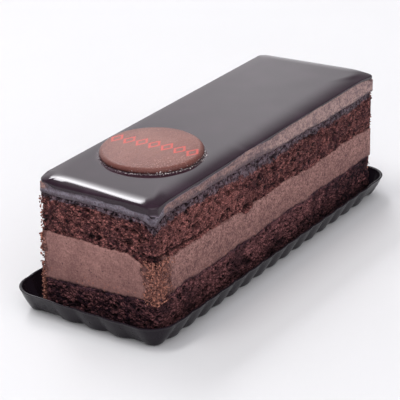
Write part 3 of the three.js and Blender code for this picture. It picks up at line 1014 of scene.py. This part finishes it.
def lozengeRow(t, s):
    # how near a point is to the outline of the nearest lozenge of the row
    along = t.axis(1) - s["y"]
    across = t.axis(0) - (s["x"] + s["rowX"]) + s["rowTurn"] * along
    cell = (along / s["pitch"] + 100.5).fraction() - 0.5
    outline = (cell.size() * (s["pitch"] / s["wide"]) + across.size() / s["tall"] - 1.0).size()
    within = along.size().step(s["rowHalf"] + 0.1, s["rowHalf"])
    return outline.step(s["stroke"], s["stroke"] * 0.6) * within


def chocolate(t):
    # bloom and dust over the body, fine pimples with painted highlights on the part of the face that is
    # towards the near corner, painted shade on the edge and underside, and the printed row
    s = roundSettings
    face = s["base"] + s["thickness"]
    level = t.axis(2) - (t.axis(0) - s["x"]) * s["rise"][0] - (t.axis(1) - s["y"]) * s["rise"][1]
    printed = lozengeRow(t, s) * level.step(face - 0.25, face - 0.15) * t.noise(0.35, 3.0).step(0.3, 0.45)
    bloom, cloud, dust = t.noise(2.2, 4.0, 0.6), t.noise(8.0, 2.0), t.noise(0.5, 3.0, 0.6)
    towards = ((s["x"] - t.axis(0)) * 0.62 + (s["y"] - t.axis(1)) * 0.78) / s["radius"]
    # pale pimples: real bumps with painted highlights, on the part towards the near corner
    pimpleHighlight = t.cells(0.7).step(0.42, 0.2) * towards.step(0.5, 0.78) * dust.step(0.4, 0.55)
    height = level + (dust - 0.5) * 1.1
    down = height.step(face - 0.4, s["base"] + 0.3)
    return {
        "Base Color": t.over(
            t.mix(cloud.step(0.35, 0.65), s["low"], s["high"]),
            (bloom.step(0.5, 0.75) * 0.3, s["bloom"]),
            (dust.step(0.6, 0.72) * 0.35, s["dust"]),
            (dust.step(0.44, 0.32) * 0.35, s["speck"]),
            (pimpleHighlight * 0.6, s["pimpleHighlight"]),
            # painted shade on the shoulder, then painted shade on the underside
            (height.step(face + 0.3, face - 0.3) * 0.85, s["edgeShade"]),
            (down * 0.9, s["underShade"]),
            (printed * 0.9, s["print"]),
        ),
        "Roughness": 0.34 + 0.12 * bloom + 0.3 * down,
        "Normal": t.bump(dust * (1.0 + 2.0 * down) + bloom + pimpleHighlight, 0.12, 0.8),
    }


milk = makeMaterial("milkChocolate", chocolate, {"Specular IOR Level": 0.28})
finishPiece(roundMesh(roundSettings), milk, "chocolate", "chocolate_round")


# black tray: flared wall of convex flutes, thin bead along the rim
traySettings = {
    "height": 7.2, "wall": 0.5,
    "rim": {"length": 132.8, "width": 53.7, "cornerRadius": 8.7},
    "foot": {"length": 123.6, "width": 44.2, "cornerRadius": 3.4},
    "flare": 1.3,
    "sideFlutes": 15, "sideRun": 110.4, "sideShift": -2.0,
    "endFlutes": 3, "endRun": 25.4, "endShift": -1.5,
    "rimDepth": 0.3, "footDepth": 1.3,
    "stepsPerFlute": 16, "cornerSteps": 44,
    "bead": 0.16,
    "footRound": ((0.0, 0.9), (0.05, 0.55), (0.25, 0.2), (0.55, 0.04)),    # height, and how far in
    "floorRound": ((0.9, 0.05), (0.62, 0.4), (0.5, 0.9)),
    "black": tone(27, 21, 28), "dust": tone(74, 70, 78),
}


def trayStations(s):
    # each flute takes equal steps and each corner is one broad flute; bulge is 0 on a kink and 1
    # half way between two kinks
    parts = []
    for start, n, along, isEnd in fourSides():
        flutes, run, shift = (s[("end" if isEnd else "side") + k] for k in ("Flutes", "Run", "Shift"))
        straight = s["rim"]["width" if isEnd else "length"] - 2 * s["rim"]["cornerRadius"]
        steps = flutes * s["stepsPerFlute"]
        f = run / straight * np.linspace(-1, 1, steps + 1)[:, None]
        moved = n + along * f + np.abs(along) * shift * 2 / straight
        bulge = np.abs(np.sin(np.pi * np.arange(steps + 1) / s["stepsPerFlute"]))[:, None]
        parts.append(np.hstack([moved, np.repeat(n[None], len(f), 0), bulge]))
        count = s["cornerSteps"]
        angle = start + np.linspace(0, 1, count + 1) * math.pi / 2
        ax, ay = (np.full(count + 1, v) for v in n + along)
        rise = np.sin(np.pi * (np.arange(count + 1) + 1) / (count + 2))
        parts.append(np.stack([ax, ay, np.cos(angle), np.sin(angle), rise], -1))
    return np.concatenate(parts).T


def trayRing(s, station, height, inward):
    # the outline at a height: foot to rim by a curved flare, moved in by inward and out by the flute
    ax, ay, nx, ny, bulge = station
    share = height / s["height"]
    flare = share * (s["flare"] + (1 - s["flare"]) * share)
    size = {k: blend(s["foot"][k], s["rim"][k], flare) for k in s["foot"]}
    radius = size["cornerRadius"] - inward / 2
    out = radius + blend(s["footDepth"], s["rimDepth"], share) * bulge
    x = ax * (size["length"] / 2 - inward - radius) + nx * out
    y = ay * (size["width"] / 2 - inward - radius) + ny * out
    return np.stack([x, y, np.full_like(x, height)], -1)


def trayMesh(s):
    # up the outside, over a round bead, down the inside and in along the floor
    station = trayStations(s)
    wall, top, half = s["wall"], s["height"], s["wall"] / 2
    steps = list(s["footRound"])
    steps += [(h, 0.0) for h in np.linspace(0.8, top - wall, 14)]
    for angle in np.linspace(0, math.pi, 9):
        inward = half - (half + s["bead"] * math.sin(angle / 2 + 0.8)) * math.cos(angle)
        steps.append((top - half + half * math.sin(angle), inward))
    steps += [(h, wall) for h in np.linspace(top - wall, 1.3, 12)]
    steps += [(h, wall + inward) for h, inward in s["floorRound"]]
    rings = np.array([trayRing(s, station, h, inward) for h, inward in steps])
    return ringMesh("trayShell", rings, [(0, 0, 0), (0, 0, wall)])


def blackPlastic(t):
    # glossy black with faint draw lines up the wall and a little dust
    s = traySettings
    dust, pull = t.noise(0.5, 4.0, 0.7), t.noise(2.5, 2.0, 0.5, (1, 1, 5))
    return {
        "Base Color": t.mix(dust.step(0.6, 0.85) * 0.35, s["black"], s["dust"]),
        "Roughness": 0.2 + 0.12 * pull,
        "Normal": t.bump(pull, 0.15, 0.35),
    }


plastic = makeMaterial("blackPlastic", blackPlastic, {"Specular IOR Level": 0.15})
finishPiece(trayMesh(traySettings), plastic, "tray_plastic", "tray")


# loose crumbs, as twenty-sided lumps with each corner pulled in or out
def lumpMesh(name, middles, sizes, seed):
    # every lump is an icosahedron of random corners, turned at random, scaled and moved to its middle
    rng = np.random.default_rng(seed)
    g = (1 + 5**0.5) / 2
    corner = np.array([
        (-1, g, 0), (1, g, 0), (-1, -g, 0), (1, -g, 0), (0, -1, g), (0, 1, g),
        (0, -1, -g), (0, 1, -g), (g, 0, -1), (g, 0, 1), (-g, 0, -1), (-g, 0, 1),
    ]) / (1 + g * g) ** 0.5
    face = np.array([
        (0, 11, 5), (0, 5, 1), (0, 1, 7), (0, 7, 10), (0, 10, 11),
        (1, 5, 9), (5, 11, 4), (11, 10, 2), (10, 7, 6), (7, 1, 8),
        (3, 9, 4), (3, 4, 2), (3, 2, 6), (3, 6, 8), (3, 8, 9),
        (4, 9, 5), (2, 4, 11), (6, 2, 10), (8, 6, 7), (9, 8, 1),
    ])
    count = len(middles)
    q = rng.normal(size=(count, 4))
    w, x, y, z = (q / np.linalg.norm(q, axis=1, keepdims=True)).T
    turn = np.array([
        [1 - 2 * (y * y + z * z), 2 * (x * y - w * z), 2 * (x * z + w * y)],
        [2 * (x * y + w * z), 1 - 2 * (x * x + z * z), 2 * (y * z - w * x)],
        [2 * (x * z - w * y), 2 * (y * z + w * x), 1 - 2 * (x * x + y * y)],
    ]).transpose(2, 0, 1)
    shape = corner * rng.uniform(0.6, 1.15, (count, 12, 1)) * rng.uniform(0.6, 1.0, (count, 1, 3))
    points = np.einsum("nij,nkj->nki", turn, shape) * sizes[:, None, None] + middles[:, None, :]
    corners = (face[None] + np.arange(count)[:, None, None] * 12).ravel()
    shade = np.repeat(rng.uniform(0, 1, count), 12)
    return putMesh(name, points.reshape(-1, 3), corners, np.full(count * 20, 3), {"shade": shade}, True)


crumbSettings = {
    "cornerCount": 850, "leftCount": 1000, "farCount": 160,
    "spread": 2.6, "sideShare": 0.55, "proud": 0.38, "cornerHeights": (11.0, 24.5),
    "lowHeights": (1.2, 14.8), "restHeights": (14, 36), "upperFoot": 24.3,
    "bands": ((23.2, 0.6, 9), (19.2, 0.8, 12)),    # height, spread and one crumb in so many
    "farHeights": (2, 36),
    "least": 0.12, "most": 0.48,
    "dark": tone(70, 36, 36), "light": tone(186, 126, 108), "speck": tone(56, 28, 27),
}


def cornerCrumbs(rng, s):
    # away from the near corner, along the one face or the other
    n = s["cornerCount"]
    away = np.abs(rng.normal(0, s["spread"], n))
    onSide = rng.uniform(size=n) < s["sideShare"]
    x = nearEnd + np.where(onSide, away * 1.3 - 0.1, -s["proud"])
    y = nearSide + np.where(onSide, -s["proud"], away * 0.75 - 0.1)
    return np.stack([x, y, rng.uniform(*s["cornerHeights"], n)], -1)


def leftCrumbs(rng, s):
    # round the far corner of the near end: half of them low, some in bands and the rest all the way
    # up. The low ones stand out furthest, and the highest sit closest to the sponge
    n = s["leftCount"]
    level = rng.uniform(*s["lowHeights"], n // 2)
    for height, spread, each in s["bands"]:
        level = np.append(level, rng.normal(height, spread, n // each))
    level = np.append(level, rng.uniform(*s["restHeights"], n - len(level)))
    low, high = level < s["lowHeights"][1], level > s["upperFoot"]
    stand = np.abs(rng.normal(0, 0.5, n)) * np.where(low, 1.1, np.where(high, 0.5, 0.7))
    stand = stand + np.where(high, -0.15, 0.25)
    return np.stack([nearEnd - 0.25 + rng.uniform(-0.1, 2.2, n), farSide + stand, level], -1)


def farCrumbs(rng, s):
    # on the near side, up to the far end, where each layer stands a little further out
    n = s["farCount"]
    height = rng.uniform(*s["farHeights"], n)
    back = 0.3 + np.where(height < 13, 1.5, np.where(height < 23, 1.1, 0.4))
    x = cut["x"] + cut["length"] / 2 + cut["farSkew"] - back - np.abs(rng.normal(0, 0.9, n))
    return np.stack([x, nearSide - 0.2 + rng.uniform(-0.1, 1.5, n), height], -1)


def looseCrumbs(s):
    # drawn along three upright edges, small ones more often than large
    rng = np.random.default_rng(7)
    middles = np.concatenate([draw(rng, s) for draw in (cornerCrumbs, leftCrumbs, farCrumbs)])
    sizes = s["least"] + (s["most"] - s["least"]) * rng.uniform(size=len(middles)) ** 1.8
    return lumpMesh("looseCrumbs", middles, sizes, 8)


def crumbs(t):
    # each crumb has its own shade, with dark grains
    s = crumbSettings
    grain = t.noise(0.3, 2.0)
    body = t.mix(t.attribute("shade"), s["dark"], s["light"])
    return {
        "Base Color": t.mix(grain.step(0.4, 0.7) * 0.5, body, s["speck"]),
        "Roughness": 0.8 + 0.1 * grain,
    }


crumb = makeMaterial("looseCrumb", crumbs, {"Specular IOR Level": 0.3})
finishPiece(looseCrumbs(crumbSettings), crumb, "sponge")


# pale specks round the foot of the round
frostSettings = {
    "count": 420, "towards": 238, "spread": 42,    # degrees anticlockwise from +X
    "off": 0.12, "reach": 0.36, "climb": 0.8,
    "least": 0.06, "range": 0.19,
    "dark": tone(70, 42, 42), "light": tone(226, 216, 214),
}


def frost(t):
    # most specks are pale
    s = frostSettings
    return {
        "Base Color": t.mix(t.attribute("shade").step(0.35, 0.8), s["dark"], s["light"]),
        "Roughness": 0.25 + 0.1 * t.noise(0.3),
    }


def frostSpecks(s, disc):
    # most lie on the near arc of the foot, a few spread on to the glaze
    rng = np.random.default_rng(21)
    n = s["count"]
    angle = np.radians(rng.normal(s["towards"], s["spread"], n))
    r = disc["radius"] + np.abs(rng.normal(s["off"], s["reach"], n))
    lift = np.where(r < disc["radius"] + s["off"], rng.uniform(0, s["climb"], n), 0)
    x = disc["x"] + r * np.cos(angle)
    y = disc["y"] + r * np.sin(angle)
    middles = np.stack([x, y, disc["base"] + 0.02 + lift], -1)
    return lumpMesh("frostSpecks", middles, s["least"] + s["range"] * rng.uniform(size=n) ** 2, 22)


sugar = makeMaterial("frost", frost, {"Specular IOR Level": 0.6})
finishPiece(frostSpecks(frostSettings, roundSettings), sugar, "chocolate")


# floor and light
studio = {
    "floor": tone(208, 208, 209), "floorCloud": tone(211, 211, 212), "floorHalf": 4,    # m
    "roomTone": (0.98, 0.97, 1.0, 1),
    "ambient": 0.38,
    "glow": 1.15,            # a broad pale wall far on the left
    "strip": 18.0,           # a long lamp over the far left, which the near edge of the glaze mirrors
    "fill": 1.6, "fillFrom": (-0.42, -0.57, 0.70),
    "softboxPower": 19.0,
    "softboxSize": (1.0, 0.6),
    "softboxPlace": (-0.66, 0.66, 1.99),
}


def addFloor():
    # one square on the ground, wide enough to fill every view
    mesh = bpy.data.meshes.new("floor")
    half = studio["floorHalf"]
    corners = [(-half, -half, 0), (half, -half, 0), (half, half, 0), (-half, half, 0)]
    mesh.from_pydata(corners, [], [(0, 1, 2, 3)])
    floor = addObject("floor", mesh)

    def paleFloor(t):
        return {"Base Color": t.mix(t.noise(60.0), studio["floor"], studio["floorCloud"])}

    fixed = {"Roughness": 0.6, "Specular IOR Level": 0.2}
    mesh.materials.append(makeMaterial("paleFloor", paleFloor, fixed))


def roomLight(tree):
    # how bright the room is in each direction: even all round, a pale wall on the left, a long lamp
    # that fades to its right, and a wide soft fill from behind the eye
    look = tree.node("ShaderNodeTexCoord", output=0)
    x, y, z = (tree.node("ShaderNodeSeparateXYZ", inputs=[look], output=k) for k in range(3))
    wall = y.step(0.35, 0.51) * (1.0 - 0.3 * y.step(0.49, 0.6)) * z.step(0.95, 0.75) * x.step(-0.5, 0.1)
    ramp = ((0.73 - x) / 0.31).clamped()
    aslant = (x - (y - 0.5475).clamped() * 5.0).step(0.03, 0.2)
    strip = ramp * ramp * aslant * y.step(0.46, 0.52) * y.step(0.66, 0.60) * z.step(0.2, 0.4)
    aligned = tree.node("ShaderNodeVectorMath", {"operation": "DOT_PRODUCT"}, [look, studio["fillFrom"]], 1)
    fill = aligned.step(0.55, 0.98)
    return wall * studio["glow"] + strip * studio["strip"] + fill * studio["fill"] + studio["ambient"]


def addLight():
    # the room, and one broad softbox high above, a little to the left
    world = bpy.data.worlds.new("studio")
    scene.world = world
    tree = Tree(world)
    room = world.node_tree.nodes["Background"]
    tree.fill(room.inputs["Strength"], roomLight(tree))
    room.inputs["Color"].default_value = studio["roomTone"]
    data = bpy.data.lights.new("softbox", "AREA")
    data.shape = "RECTANGLE"
    data.size, data.size_y = studio["softboxSize"]
    data.energy = studio["softboxPower"]
    lamp = addObject("softbox", data)
    place = Vector(studio["softboxPlace"])
    back = place.normalized()
    long = (Vector((1, 0, 0)) - back * back.x).normalized()
    lamp.matrix_world = facing(place, long, back.cross(long), back)
    lamp.visible_camera = False
    lamp.visible_glossy = False    # the glaze mirrors the room alone


addFloor()
addLight()
scene.view_settings.view_transform = "Standard"
print("floor and light in place")
